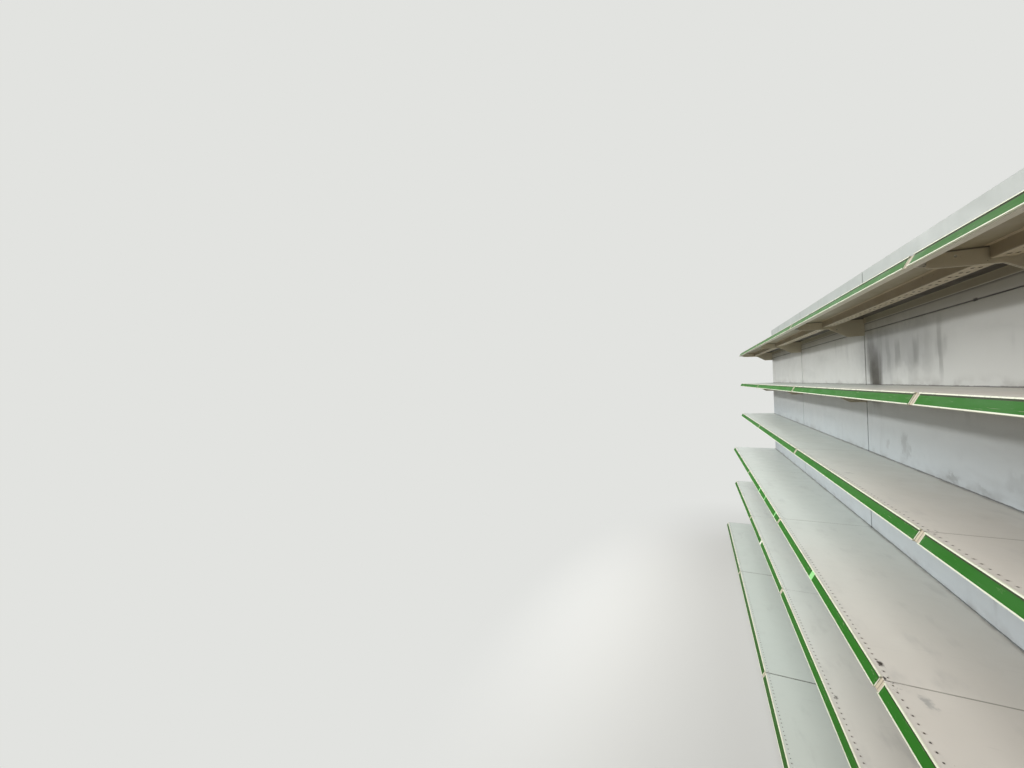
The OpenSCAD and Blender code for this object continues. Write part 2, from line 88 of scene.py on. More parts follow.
# The camera, as it stood before the shelving
CAMERA_PAST_RUN_END = 0.0042
CAMERA_FROM_PANELS = 0.8276
CAMERA_HEIGHT = 1.8683
CAMERA_YAW = math.radians(24.80)
CAMERA_PITCH = math.radians(0.394)
CAMERA_ROLL = math.radians(-1.825)
CAMERA_LENS_MM = 13.791
SENSOR_WIDTH_MM = 36

FLOOR_SIZE = 240
# The floor blends into the surround between these distances from the middle of the run,
# measured on rings that are longer along the run than across it
FADE_START = 0.9
FADE_END = 2.2
FADE_RING = (0.5, 1.0, 1.0)

# Strength of the pale surround as a light
FILL_STRENGTH = 0.46


def rgb(red, green, blue):
    """A colour given as 0 to 255 display values, made linear for a shader."""
    def linear(value):
        value /= 255
        return value / 12.92 if value <= 0.04045 else ((value + 0.055) / 1.055) ** 2.4
    return (linear(red), linear(green), linear(blue), 1.0)


# Colours of the paint, the plastic, the card and the dirt on them, and of painted light and shade
PAINT_GREY = rgb(206, 213, 207)
# Beige of yellowed paint, also painted warm light on the decks towards the right end
BEIGE_PAINT_AND_WARM_LIGHT = rgb(208, 200, 190)
PAINT_WHITE = rgb(198, 206, 210)
PAINT_WARM = rgb(217, 217, 211)
# Painted shade at the top of the panels
TOP_PANEL_SHADE = rgb(170, 178, 174)
# Painted shade that darkens the base deck
BASE_DECK_SHADE = rgb(172, 181, 173)
# Painted brown shade under the decks, on their rear folds and on the panels below them
UNDERSIDE_SHADE = rgb(150, 140, 112)
# Tan of the stiffeners, their grey paint with painted warm shade, and of the browned deck fronts at the
# bay lines
TAN_WEAR_AND_SHADE = rgb(190, 177, 150)
# Painted highlight on the lower edges and faces of the decks and brackets
EDGE_HIGHLIGHT = rgb(222, 218, 204)
# Tan of the brackets: their grey paint with painted warm shade
BRACKET_TAN_SHADE = rgb(206, 196, 172)
BARE_STEEL = rgb(70, 66, 62)
ZINC_GREY = rgb(168, 168, 166)
CAP_GREY = rgb(150, 152, 150)
FOOT_BLACK = rgb(42, 42, 44)
STRIP_GREEN = rgb(34, 104, 16)
STRIP_FADED = rgb(54, 116, 36)
# Painted reflection that greys the strip of the top shelf
STRIP_SHEEN_GREY = rgb(92, 118, 82)
CHANNEL_CREAM = rgb(228, 232, 208)
CARD_WHITE = rgb(216, 217, 206)
# Light green card, standing in partly for a painted glint on the strips
CARD_GREEN_GLINT = rgb(140, 214, 132)
# Grey of smears, and of painted shade on the panels
GREY_SMEAR_AND_SHADE = rgb(126, 128, 128)
DUST = rgb(176, 168, 150)
# Brown grime, and painted shade on the sides of the stiffeners
BROWN_GRIME_AND_SHADE = rgb(92, 80, 66)
# Dark grime, and painted shade in gaps, recesses, under the decks and below the lips
DARK_GRIME_AND_SHADE = rgb(52, 45, 38)
# Brown of stains, and of painted reflections and shadows of bottles on the panels
STAIN_AND_REFLECTION_BROWN = rgb(50, 46, 32)
RUST_BROWN = rgb(88, 52, 40)
# Painted shade inside the slots
SLOT_SHADE_BLACK = rgb(30, 26, 20)
SURROUND_COLOUR = rgb(226, 227, 224)
FILL_COLOUR = rgb(240, 241, 242)
FLOOR_COLOUR = rgb(188, 188, 185)
FLOOR_BOUNCE = rgb(138, 132, 122)

NOISE_ROUGHNESS = 0.55


class Finish:
    """A material and a short way to add and join its nodes."""

    def __init__(self, name, colour, roughness):
        self.material = bpy.data.materials.new(name)
        self.material.use_nodes = True
        self.tree = self.material.node_tree
        self.shader = self.tree.nodes["Principled BSDF"]
        self.source = self.add("ShaderNodeTexCoord")
        self.place = self.source.outputs["Object"]
        self.colour = colour
        self.roughness = roughness

    def add(self, kind, settings=None, **inputs):
        """A new node with its settings and what goes into its inputs."""
        node = self.tree.nodes.new(kind)
        for key, value in (settings or {}).items():
            setattr(node, key, value)
        for key, value in inputs.items():
            self.feed(node.inputs[key.replace("_", " ")], value)
        return node

    def feed(self, socket, value):
        """Join another node's output to a socket, or write a plain value into it."""
        if isinstance(value, bpy.types.NodeSocket):
            self.tree.links.new(value, socket)
        else:
            socket.default_value = value

    def math(self, operation, a, b=0.0):
        """The result of an operation on one or two values."""
        node = self.add("ShaderNodeMath", {"operation": operation})
        self.feed(node.inputs[0], a)
        self.feed(node.inputs[1], b)
        return node.outputs[0]

    def plus(self, a, b):
        return self.math("ADD", a, b)

    def minus(self, a, b):
        return self.math("SUBTRACT", a, b)

    def off(self, value, centre):
        """How far value is from centre, to either side."""
        return self.math("ABSOLUTE", self.minus(value, centre))

    def times(self, *factors):
        """The product of two or more values."""
        product = factors[0]
        for factor in factors[1:]:
            product = self.math("MULTIPLY", product, factor)
        return product

    def axis(self, name):
        """The place along an axis of the object, in metres."""
        return self.add("ShaderNodeSeparateXYZ", Vector=self.place).outputs[name]

    def facing(self, name):
        """How far the surface faces along an axis of the object, from -1 to 1."""
        return self.add("ShaderNodeSeparateXYZ", Vector=self.source.outputs["Normal"]).outputs[name]

    def noise(self, size, stretch=(1, 1, 1), detail=4.0, shift=0.0):
        """Soft noise whose blots measure about size, in metres, and longer where stretch is below 1."""
        middle = (shift, shift, shift)
        where = self.add("ShaderNodeMapping", Vector=self.place, Scale=stretch, Location=middle)
        node = self.add(
            "ShaderNodeTexNoise",
            Vector=where.outputs[0],
            Scale=1 / size,
            Detail=detail,
            Roughness=NOISE_ROUGHNESS,
        )
        return node.outputs[0]

    def between(self, value, low, high, start=0.0, end=1.0):
        """Value stretched so that low becomes start and high becomes end."""
        node = self.add("ShaderNodeMapRange", {"interpolation_type": "SMOOTHSTEP"}, Value=value)
        for key, number in (("From Min", low), ("From Max", high), ("To Min", start), ("To Max", end)):
            node.inputs[key].default_value = number
        return node.outputs[0]

    def fade(self, value, low, high, strength=1.0):
        """Strength where value is below low, fading to nothing at high."""
        return self.between(value, low, high, strength, 0.0)

    def blots(self, size, low, high, start=0.0, end=1.0, **grain):
        """Noise of a size, stretched so that low becomes start and high becomes end."""
        return self.between(self.noise(size, **grain), low, high, start, end)

    def near(self, value, centre, reach):
        """One where value is at centre, fading to nothing at reach from it."""
        return self.fade(self.off(value, centre), 0.0, reach)

    def blend(self, amount, under, over):
        """A colour laid over another, as strongly as amount says."""
        node = self.add("ShaderNodeMix", {"data_type": "RGBA"})
        # A colour mix has its factor in socket 0 and its two colours in sockets 6 and 7
        for socket, value in ((0, amount), (6, under), (7, over)):
            self.feed(node.inputs[socket], value)
        return node.outputs[2]

    def paint(self, amount, colour):
        """Lay a colour over what is there, as strongly as amount says."""
        self.colour = self.blend(amount, self.colour, colour)

    def bump(self, height, distance, strength=1.0):
        """Relief of a height pattern, on top of any relief that is there."""
        normal = self.shader.inputs["Normal"]
        node = self.add("ShaderNodeBump", Height=height, Distance=distance, Strength=strength)
        if normal.is_linked:
            self.feed(node.inputs["Normal"], normal.links[0].from_socket)
        self.feed(normal, node.outputs[0])

    def done(self, **shader_values):
        """The finished material, with any plain values of the shader."""
        self.feed(self.shader.inputs["Base Color"], self.colour)
        self.feed(self.shader.inputs["Roughness"], self.roughness)
        for key, value in shader_values.items():
            self.shader.inputs[key.replace("_", " ")].default_value = value
        return self.material


def powder_coat(name, colour, blotch=0.2, roughness=0.42, shift=0.0):
    """Baked paint with an orange-peel skin, handled for years."""
    coat = Finish(name, colour, roughness)
    coat.paint(coat.blots(0.35, 0.45, 0.8, 0.0, blotch, shift=shift), BEIGE_PAINT_AND_WARM_LIGHT)
    coat.paint(coat.blots(0.06, 0.52, 0.82, 0.0, blotch, detail=6.0, shift=shift), GREY_SMEAR_AND_SHADE)
    coat.roughness = coat.blots(0.09, 0.3, 0.7, roughness - 0.08, roughness + 0.1, shift=shift)
    coat.bump(coat.noise(0.0016, detail=2.0), 0.00008, 0.5)
    return coat


def chip_paint(coat):
    """Small chips of bare steel, scattered over the paint."""
    coat.paint(coat.blots(0.012, 0.68, 0.72, 0.0, 0.7, detail=5.0), BARE_STEEL)


def over_deck(coat, row):
    """Height above the deck of a row."""
    return coat.minus(coat.axis("Z"), DECK_TOP[row])


def below_deck(coat, row):
    """Depth below the top of the deck of a row."""
    return coat.minus(DECK_TOP[row], coat.axis("Z"))


def from_bay_middle(coat):
    """The place along a bay, from minus half its length to half its length."""
    along = coat.plus(coat.axis("X"), RUN_END + BAY_LENGTH)
    return coat.minus(coat.math("MODULO", along, BAY_LENGTH), BAY_LENGTH / 2)


def near_bay_lines(coat, reach):
    """One at the bay lines, fading to nothing at reach from them."""
    return coat.near(coat.math("ABSOLUTE", from_bay_middle(coat)), BAY_LENGTH / 2, reach)


# Pitches added to a place along a bay, so that it stays positive and a slot falls in mid pitch
PITCHES_ADDED = 40.5
# Where the tint round a slot starts to fade, where it ends, and how far its edge wanders
HALO_START = 0.002
HALO_END = 0.0065
HALO_RAGGED = 0.0012


def slot_halo(coat, row):
    """Rusty tint round each slot along the front of a shelf, on the deck alone."""
    steps = coat.plus(from_bay_middle(coat), PITCHES_ADDED * SLOT_PITCH)
    beside = coat.minus(coat.math("MODULO", steps, SLOT_PITCH), SLOT_PITCH / 2)
    behind = coat.minus(coat.axis("Y"), DECK_EDGE[row] + SLOT_BACK)
    spread = coat.plus(coat.times(beside, beside), coat.times(behind, behind))
    wander = coat.blots(0.004, 0.3, 0.7, -HALO_RAGGED, HALO_RAGGED)
    ragged = coat.plus(coat.math("SQRT", spread), wander)
    patchy = coat.blots(0.07, 0.4, 0.6, 0.1, 1.0, shift=3.0)
    return coat.times(coat.fade(ragged, HALO_START, HALO_END), patchy)


# Share of a mark's half size that it covers at full strength
MARK_CORE = 0.3


def mark(coat, first, second, spot, ragged=0.012, stretch=(1, 1, 1)):
    """A soft mark of a spot: its two middles, its two half sizes and its strength."""
    middle_1, middle_2, half_1, half_2, strength = spot
    wander = coat.blots(ragged * 3, 0.3, 0.7, -ragged, ragged, stretch=stretch, detail=3.0)
    off_1 = coat.off(coat.plus(first, wander), middle_1)
    off_2 = coat.off(coat.plus(second, wander), middle_2)
    inside_1 = coat.fade(off_1, MARK_CORE * half_1, half_1)
    inside_2 = coat.fade(off_2, MARK_CORE * half_2, half_2)
    return coat.times(inside_1, inside_2, strength)


# Marks on the decks: the place along and behind the front edge, the two half sizes, the strength
DECK_CHIPS = {
    "shelf_2": ((1.257, 0.017, 0.016, 0.008, 1.0), (1.322, 0.004, 0.010, 0.004, 1.0)),
    "shelf_1": ((0.835, 0.019, 0.014, 0.007, 0.7),),
}
DECK_SMUDGES = {
    "shelf_2": ((1.384, 0.065, 0.028, 0.014, 0.5), (1.40, 0.30, 0.10, 0.05, 0.25)),
    "shelf_3": ((0.62, 0.05, 0.02, 0.015, 0.35), (1.16, 0.031, 0.012, 0.010, 0.3)),
}
# How far the dirt reaches from the joint between two decks
BASE_JOINT = 0.007
SHELF_JOINT = 0.003
# Where the painted shade of the underside gives way to that of the rear fold, before the back of a deck
FOLD_FROM = 0.006
FOLD_TO = 0.003


def deck_places(deck, row):
    """Where a point of a deck lies, and which way it faces."""
    return {
        "behind": deck.minus(deck.axis("Y"), DECK_EDGE[row]),
        "below": below_deck(deck, row),
        "up": deck.between(deck.facing("Z"), 0.2, 0.8),
        "down": deck.fade(deck.facing("Z"), -0.7, -0.2),
        "front": deck.fade(deck.facing("Y"), -0.75, -0.5),
    }


def wear_deck_top(deck, row, place):
    """Beige towards the right end, partly yellowed paint and partly painted warm light, general wear,
    rusty slots and the larger marks.
    """
    number = ROWS.index(row)
    along, behind, up = deck.axis("X"), place["behind"], place["up"]
    # Beige towards the right end: yellowed paint with painted warm light
    deck.paint(deck.between(along, -0.3, 1.6, 0.0, 0.85), BEIGE_PAINT_AND_WARM_LIGHT)
    # The base deck darker, with painted shade
    if row == "base":
        deck.paint(0.6, BASE_DECK_SHADE)
    smudges = deck.blots(0.07, 0.56, 0.8, 0.0, 0.2, stretch=(0.4, 1, 1), detail=6.0, shift=2.1 * number)
    deck.paint(smudges, GREY_SMEAR_AND_SHADE)
    scratches = deck.blots(0.004, 0.68, 0.74, 0.0, 0.12, stretch=(1, 0.03, 1), detail=2.0, shift=number)
    deck.paint(scratches, GREY_SMEAR_AND_SHADE)
    specks = deck.blots(0.006, 0.73, 0.76, 0.0, 0.6, stretch=(0.6, 1, 1), detail=3.0, shift=number)
    deck.paint(deck.times(specks, deck.blots(0.16, 0.58, 0.68, shift=number)), BROWN_GRIME_AND_SHADE)
    deck.paint(deck.times(slot_halo(deck, row), up, 0.35), RUST_BROWN)
    for spot in DECK_SMUDGES.get(row, ()):
        deck.paint(deck.times(mark(deck, along, behind, spot, ragged=0.005), up), GREY_SMEAR_AND_SHADE)
    for spot in DECK_CHIPS.get(row, ()):
        deck.paint(deck.times(mark(deck, along, behind, spot, ragged=0.002), up), DARK_GRIME_AND_SHADE)


def deck_underside_shade(deck, row, place):
    """Painted shade underneath: brown, dark inside the stiffener and behind it, with painted highlights
    along the folded edges.
    """
    behind, below, down = place["behind"], place["below"], place["down"]
    depth = SHELF_DEPTH[row]
    under = deck.between(below, 0.0003, 0.0007)
    past_front = deck.between(behind, 0.006, 0.02)
    before_rear = deck.fade(behind, depth - FOLD_FROM, depth - FOLD_TO)
    within = deck.times(under, past_front, before_rear)
    on_end_fold = deck.between(deck.math("ABSOLUTE", deck.facing("X")), 0.3, 0.7)
    # Painted brown shade over the underside
    deck.paint(deck.times(within, deck.minus(1.0, on_end_fold), 0.92), UNDERSIDE_SHADE)

    # Painted shadow behind the stiffener and painted shade inside it
    past_stiffener = depth / 2 + STIFFENER_HALF
    darkness = deck.between(behind, past_stiffener + 0.01, past_stiffener + 0.05, 0.3, 0.96)
    in_corner = deck.between(behind, past_stiffener - 0.001, past_stiffener)
    deck.paint(deck.times(darkness, in_corner, down, within), DARK_GRIME_AND_SHADE)
    from_stiffener = deck.off(behind, depth / 2)
    in_stiffener = deck.fade(from_stiffener, STIFFENER_HALF - 0.002, STIFFENER_HALF - 0.001)
    deck.paint(deck.times(in_stiffener, down, within), DARK_GRIME_AND_SHADE)

    # Painted highlight on the hem, painted shade on the rear fold and a painted highlight along its
    # lower edge
    on_hem = deck.between(below, FRONT_HEIGHT - 0.004, FRONT_HEIGHT - 0.002)
    deck.paint(deck.times(down, on_hem), EDGE_HIGHLIGHT)
    on_rear_fold = deck.between(behind, depth - FOLD_FROM, depth - FOLD_TO)
    deck.paint(deck.times(on_rear_fold, under, 0.8), UNDERSIDE_SHADE)
    deck.paint(deck.times(on_rear_fold, deck.near(below, REAR_FOLD, 0.004), 0.7), EDGE_HIGHLIGHT)


def dirty_deck_edges(deck, row, place):
    """Dirt along the back and in the joints, and chipped, browned fronts at the bay lines."""
    number = ROWS.index(row)
    behind, up = place["behind"], place["up"]
    depth = SHELF_DEPTH[row]
    at_back = deck.between(behind, depth - 0.02, depth - 0.001)
    patchy = deck.blots(0.03, 0.35, 0.65, 0.15, 0.6, stretch=(0.4, 1, 1))
    deck.paint(deck.times(at_back, up, patchy), BROWN_GRIME_AND_SHADE)
    chips = deck.blots(0.008, 0.62, 0.65, stretch=(0.7, 1, 1), detail=3.0, shift=number)
    at_bay_lines = near_bay_lines(deck, 0.05)
    deck.paint(deck.times(chips, at_bay_lines, deck.near(behind, 0.0, 0.05), 0.8), BARE_STEEL)
    deck.paint(deck.times(place["front"], at_bay_lines, 0.9), TAN_WEAR_AND_SHADE)
    reach = BASE_JOINT if row == "base" else SHELF_JOINT
    joint = deck.times(near_bay_lines(deck, reach), deck.blots(0.05, 0.35, 0.6, 0.6, 1.0))
    deck.paint(deck.times(joint, up), DARK_GRIME_AND_SHADE)


def deck_finish(row):
    """Deck paint: worn on top, painted shade and highlights underneath, dirty along its edges."""
    deck = powder_coat(row + "_deck_paint", PAINT_GREY, blotch=0.1, shift=7.3 * ROWS.index(row))
    place = deck_places(deck, row)
    wear_deck_top(deck, row, place)
    deck_underside_shade(deck, row, place)
    dirty_deck_edges(deck, row, place)
    return deck.done()


# Marks on the panels: the place along and the height, the two half sizes, the strength
# Streaks: stains with painted reflections and shadows of bottles
PANEL_STREAKS_AND_REFLECTIONS = (
    (0.075, 1.96, 0.055, 0.17, 0.60),
    (0.120, 1.86, 0.085, 0.18, 1.00),
    (0.140, 1.90, 0.050, 0.16, 0.70),
    (0.180, 1.92, 0.035, 0.20, 0.30),
    (0.270, 1.97, 0.025, 0.12, 0.24),
    (0.365, 1.97, 0.035, 0.08, 0.34),
    (0.510, 1.96, 0.035, 0.08, 0.34),
    (0.490, 1.88, 0.060, 0.16, 0.14),
    (0.600, 1.97, 0.040, 0.16, 0.12),
    (0.700, 1.97, 0.022, 0.15, 0.34),
    (0.700, 1.97, 0.050, 0.05, 0.18),
)
# Smudges: smears, and painted shade darkening the panel below the top shelf
PANEL_SMUDGES_AND_SHADE = (
    (0.300, 1.995, 0.560, 0.150, 0.50),
    (0.150, 1.950, 0.250, 0.200, 0.30),
    (0.233, 1.545, 0.020, 0.030, 0.25),
    (0.390, 1.560, 0.035, 0.060, 0.38),
    (0.430, 1.535, 0.022, 0.035, 0.30),
    (0.740, 1.492, 0.045, 0.022, 0.50),
    (0.900, 1.490, 0.050, 0.018, 0.30),
    (1.050, 1.545, 0.060, 0.040, 0.18),
)
# Heights over which the panels turn warmer and lighter, and further up darker with painted shade
TURNS_WARM = (1.4, 1.9)
TURNS_SHADED = (2.15, 2.2)
# Notch in the top seam, dark with dirt
SEAM_NOTCH = (0.9, PANEL_SEAMS[-1], 0.016, 0.007, 1.0)
# Streaks run down the panels, so their ragged sides are drawn out upright
UPRIGHT_STREAK = (1, 1, 0.15)


def smear_panel(panel):
    """Streaks, wiped patches and the larger marks, partly smears and stains and partly painted shade and
    painted reflections and shadows of bottles.
    """
    along, height = panel.axis("X"), panel.axis("Z")
    # Streaks, partly smears and partly painted reflections of bottles
    streaks = panel.blots(0.045, 0.47, 0.75, stretch=(1, 1, 0.1), detail=3.0)
    patches = panel.blots(0.28, 0.5, 0.7, shift=1.7)
    panel.paint(panel.times(streaks, patches, 0.3), GREY_SMEAR_AND_SHADE)
    wiped = panel.blots(0.18, 0.52, 0.78, 0.0, 0.18, stretch=(0.35, 1, 1.6), detail=5.0, shift=4.0)
    panel.paint(wiped, GREY_SMEAR_AND_SHADE)
    # Smears and painted shade
    for spot in PANEL_SMUDGES_AND_SHADE:
        panel.paint(mark(panel, along, height, spot), GREY_SMEAR_AND_SHADE)
    # Stains with painted reflections and shadows of bottles
    for spot in PANEL_STREAKS_AND_REFLECTIONS:
        panel.paint(mark(panel, along, height, spot, stretch=UPRIGHT_STREAK), STAIN_AND_REFLECTION_BROWN)


def panel_grime_and_shade_at_deck(panel, row):
    """A dark line of painted shade in the gap over a deck, soft grime above it, and a band of painted
    shade and shadow below it.
    """
    over = over_deck(panel, row)
    # Painted shade in the gap just over the deck
    above = panel.between(over, -0.001, 0.0)
    ragged = panel.plus(over, panel.blots(0.01, 0.3, 0.7, -0.0008, 0.0008, stretch=(0.5, 1, 1)))
    panel.paint(panel.times(above, panel.fade(ragged, 0.002, 0.005, 0.75)), DARK_GRIME_AND_SHADE)
    patchy = panel.blots(0.06, 0.42, 0.7, 0.0, 0.3, stretch=(0.6, 1, 1), shift=ROWS.index(row))
    panel.paint(panel.times(above, panel.fade(over, 0.0, 0.05), patchy), BROWN_GRIME_AND_SHADE)
    # Painted shade and shadow on the panel below the deck
    beneath = panel.fade(over, -REAR_FOLD - 0.001, -REAR_FOLD)
    under_deck_shade = panel.between(over, -0.13, -REAR_FOLD, 0.0, 0.4)
    panel.paint(panel.times(beneath, under_deck_shade), UNDERSIDE_SHADE)
    shadowed = panel.between(over, -REAR_FOLD - 0.01, -REAR_FOLD - 0.002, 0.0, 0.6)
    panel.paint(panel.times(beneath, shadowed), DARK_GRIME_AND_SHADE)


def line_panel_seams(panel):
    """Dirt in the seams between the rows of panels and between the bays."""
    along, height = panel.axis("X"), panel.axis("Z")
    for seam in PANEL_SEAMS:
        panel.paint(panel.times(panel.near(height, seam, 0.0035), 0.9), DARK_GRIME_AND_SHADE)
    panel.paint(mark(panel, along, height, SEAM_NOTCH, ragged=0.001), DARK_GRIME_AND_SHADE)
    patchy = panel.blots(0.05, 0.4, 0.7, 0.0, 0.3)
    panel.paint(panel.times(near_bay_lines(panel, 0.02), patchy), GREY_SMEAR_AND_SHADE)
    panel.paint(panel.times(near_bay_lines(panel, 0.003), 0.8), DARK_GRIME_AND_SHADE)


def panel_finish():
    """Panel paint: its tone changes with height, darker at the top with painted shade, and only its
    front is marked.
    """
    panel = powder_coat("panel_paint", PAINT_WHITE, blotch=0.08, roughness=0.36)
    height = panel.axis("Z")
    panel.paint(panel.between(height, *TURNS_WARM, 0.0, 0.85), PAINT_WARM)
    # Painted shade at the top of the panels
    panel.paint(panel.between(height, *TURNS_SHADED, 0.0, 0.8), TOP_PANEL_SHADE)
    clean = panel.colour
    smear_panel(panel)
    for row in ROWS:
        panel_grime_and_shade_at_deck(panel, row)
    line_panel_seams(panel)
    on_front = panel.fade(panel.facing("Y"), 0.2, 0.6)
    panel.colour = panel.blend(on_front, clean, panel.colour)
    return panel.done()


def steel_finish(name, colour):
    """Paint on a carrying piece, chipped all over and dirty near the floor."""
    steel = powder_coat(name, colour)
    chip_paint(steel)
    steel.paint(steel.fade(steel.axis("Z"), 0.0, 0.16, 0.5), BROWN_GRIME_AND_SHADE)
    return steel.done()


def stiffener_finish():
    """Stiffener paint: tan with painted warm shade, painted shade on its sides and inside it, so that
    the slots in its foot show.
    """
    # Tan: grey paint with painted warm shade
    steel = powder_coat("stiffener_paint", TAN_WEAR_AND_SHADE)
    chip_paint(steel)
    # Painted shade on the upright sides
    on_side = steel.fade(steel.math("ABSOLUTE", steel.facing("Z")), 0.4, 0.8, 0.45)
    steel.paint(on_side, BROWN_GRIME_AND_SHADE)
    # Painted shade inside the stiffener
    for row in ROWS:
        below = below_deck(steel, row)
        from_middle = steel.off(steel.axis("Y"), DECK_EDGE[row] + SHELF_DEPTH[row] / 2)
        inside = steel.fade(from_middle, STIFFENER_HALF - 0.0007, STIFFENER_HALF - 0.0003)
        over_foot = steel.fade(below, STIFFENER_FOOT - 0.0007, STIFFENER_FOOT - 0.0003)
        steel.paint(steel.times(inside, over_foot, steel.between(below, -0.001, 0.0)), DARK_GRIME_AND_SHADE)
    return steel.done()


def bracket_finish():
    """Bracket paint: tan with painted warm shade, a painted highlight on its lower faces, and darker
    along the top where the deck lies.
    """
    bracket = powder_coat("bracket_paint", BRACKET_TAN_SHADE)
    chip_paint(bracket)
    for row in HUNG_ROWS:
        below = below_deck(bracket, row)
        along_top = bracket.fade(below, 0.003, 0.006, 0.8)
        bracket.paint(bracket.times(bracket.between(below, -0.001, 0.0), along_top), DARK_GRIME_AND_SHADE)
    # Painted highlight on the faces that point down
    bracket.paint(bracket.fade(bracket.facing("Z"), -0.7, -0.3, 0.9), EDGE_HIGHLIGHT)
    return bracket.done()


def strip_finish():
    """Coloured plastic: faded, scuffed, greyed by a painted reflection on the top shelf, darker low
    down, and with a painted shadow under the lip.
    """
    strip = Finish("green_strip", STRIP_GREEN, 0.5)
    height = strip.axis("Z")
    strip.paint(strip.blots(0.3, 0.4, 0.75, 0.0, 0.5, stretch=(0.4, 1, 1)), STRIP_FADED)
    # Painted reflection that greys the strip of the top shelf
    top_row = DECK_TOP["shelf_5"] - 0.05
    strip.paint(strip.between(height, top_row, top_row + 0.005, 0.0, 0.25), STRIP_SHEEN_GREY)
    low_rows_end = DECK_TOP["shelf_2"] - 0.1
    strip.paint(strip.fade(height, DECK_TOP["base"], low_rows_end, 0.4), DARK_GRIME_AND_SHADE)
    scratches = strip.blots(0.003, 0.64, 0.72, 0.0, 0.35, stretch=(0.05, 1, 1), detail=3.0)
    strip.paint(scratches, DUST)
    strip.paint(strip.blots(0.012, 0.66, 0.8, 0.0, 0.35, stretch=(0.3, 1, 1)), DUST)
    strip.paint(strip.times(near_bay_lines(strip, 0.03), strip.blots(0.01, 0.45, 0.6, 0.0, 0.4)), DUST)
    # Painted shadow on the strip just below the upper lip
    for row in ROWS:
        over = over_deck(strip, row)
        below_lip = strip.between(over, -0.0066, -0.0048, 0.0, 0.8)
        strip.paint(strip.times(below_lip, strip.fade(over, 0.0, 0.0004)), DARK_GRIME_AND_SHADE)
    strip.roughness = strip.blots(0.03, 0.3, 0.7, 0.44, 0.6, stretch=(0.3, 1, 1))
    strip.bump(strip.noise(0.0012), 0.00004, 0.4)
    return strip.done(Specular_IOR_Level=0.1)


def channel_finish():
    """Cream plastic of the price channels, with fine draw lines along it and a painted shadow line on
    the upper lip.
    """
    cream = Finish("cream_channel", CHANNEL_CREAM, 0.3)
    cream.paint(cream.blots(0.06, 0.5, 0.8, 0.0, 0.35, stretch=(0.3, 1, 1)), DUST)
    cream.paint(cream.times(near_bay_lines(cream, 0.05), cream.blots(0.01, 0.45, 0.6, 0.0, 0.6)), DUST)
    for row in ROWS:
        over = over_deck(cream, row)
        # Painted shadow line low on the upper lip
        lip_starts = cream.between(over, -0.0037, -0.0033)
        foot_ends = cream.fade(over, -0.0022, -0.0018, 0.9)
        cream.paint(cream.times(lip_starts, foot_ends), DARK_GRIME_AND_SHADE)
        lip_top = cream.between(over, 0.0008, 0.0012)
        row_ends = cream.fade(over, 0.01, 0.02)
        ahead = cream.minus(DECK_EDGE[row], cream.axis("Y"))
        beside_deck = cream.fade(ahead, 0.0008, 0.0016, 0.9)
        cream.paint(cream.times(lip_top, row_ends, beside_deck), BEIGE_PAINT_AND_WARM_LIGHT)
    cream.roughness = cream.blots(0.04, 0.3, 0.7, 0.24, 0.4)
    cream.bump(cream.noise(0.002, stretch=(0.02, 1, 1)), 0.00005, 0.4)
    return cream.done()


def plastic_finish(name, colour):
    """Moulded plastic with dust in its grain."""
    plastic = Finish(name, colour, 0.5)
    plastic.paint(plastic.blots(0.02, 0.5, 0.8, 0.0, 0.35), DUST)
    plastic.roughness = plastic.blots(0.01, 0.3, 0.7, 0.42, 0.6)
    plastic.bump(plastic.noise(0.0009), 0.00006, 0.5)
    return plastic.done()


def zinc_finish():
    """Zinc plating on the threads of the feet."""
    zinc = Finish("zinc_thread", ZINC_GREY, 0.35)
    zinc.paint(zinc.blots(0.004, 0.5, 0.75, 0.0, 0.5), BROWN_GRIME_AND_SHADE)
    zinc.roughness = zinc.blots(0.003, 0.3, 0.7, 0.28, 0.5)
    return zinc.done(Metallic=1.0)


def card_finish(name, colour):
    """Blank card of a price ticket, a little dusty."""
    card = Finish(name, colour, 0.6)
    card.paint(card.blots(0.02, 0.45, 0.8, 0.0, 0.3), DUST)
    card.bump(card.noise(0.0008), 0.00003, 0.4)
    return card.done()


def slot_fill_finish():
    """Near black painted shade for inside the slots, turning to the brown of packed grime in places."""
    slot_fill = Finish("slot_fill_shade_and_grime", SLOT_SHADE_BLACK, 0.85)
    slot_fill.paint(slot_fill.blots(0.02, 0.4, 0.65, 0.0, 0.7, detail=2.0), BROWN_GRIME_AND_SHADE)
    slot_fill.bump(slot_fill.noise(0.0008), 0.0001, 0.6)
    return slot_fill.done()


SLOT_FINISHES = {
    "uprights": steel_finish("upright_paint", PAINT_GREY),
    "caps": plastic_finish("cap_plastic", CAP_GREY),
    "legs": steel_finish("leg_paint", PAINT_GREY),
    "feet": plastic_finish("foot_plastic", FOOT_BLACK),
    "kick": steel_finish("kick_paint", PAINT_GREY),
    "panels": panel_finish(),
    "stiffeners": stiffener_finish(),
    "brackets": bracket_finish(),
    "price_channels": channel_finish(),
    "price_inserts": strip_finish(),
}
DECK_FINISHES = {row + "_decks": deck_finish(row) for row in ROWS}

for part in frame["record"]["subparts"]:
    name = part["node"]
    mesh = frame["nodes"][name].data
    mesh.materials.clear()
    mesh.materials.append(DECK_FINISHES.get(name) or SLOT_FINISHES[part["material_slot"]])


def start_piece():
    """Nothing is selected before a new piece is made, because the operators act on all that is."""
    if bpy.context.object and bpy.context.object.mode != "OBJECT":
        bpy.ops.object.mode_set(mode="OBJECT")
    bpy.ops.object.select_all(action="DESELECT")


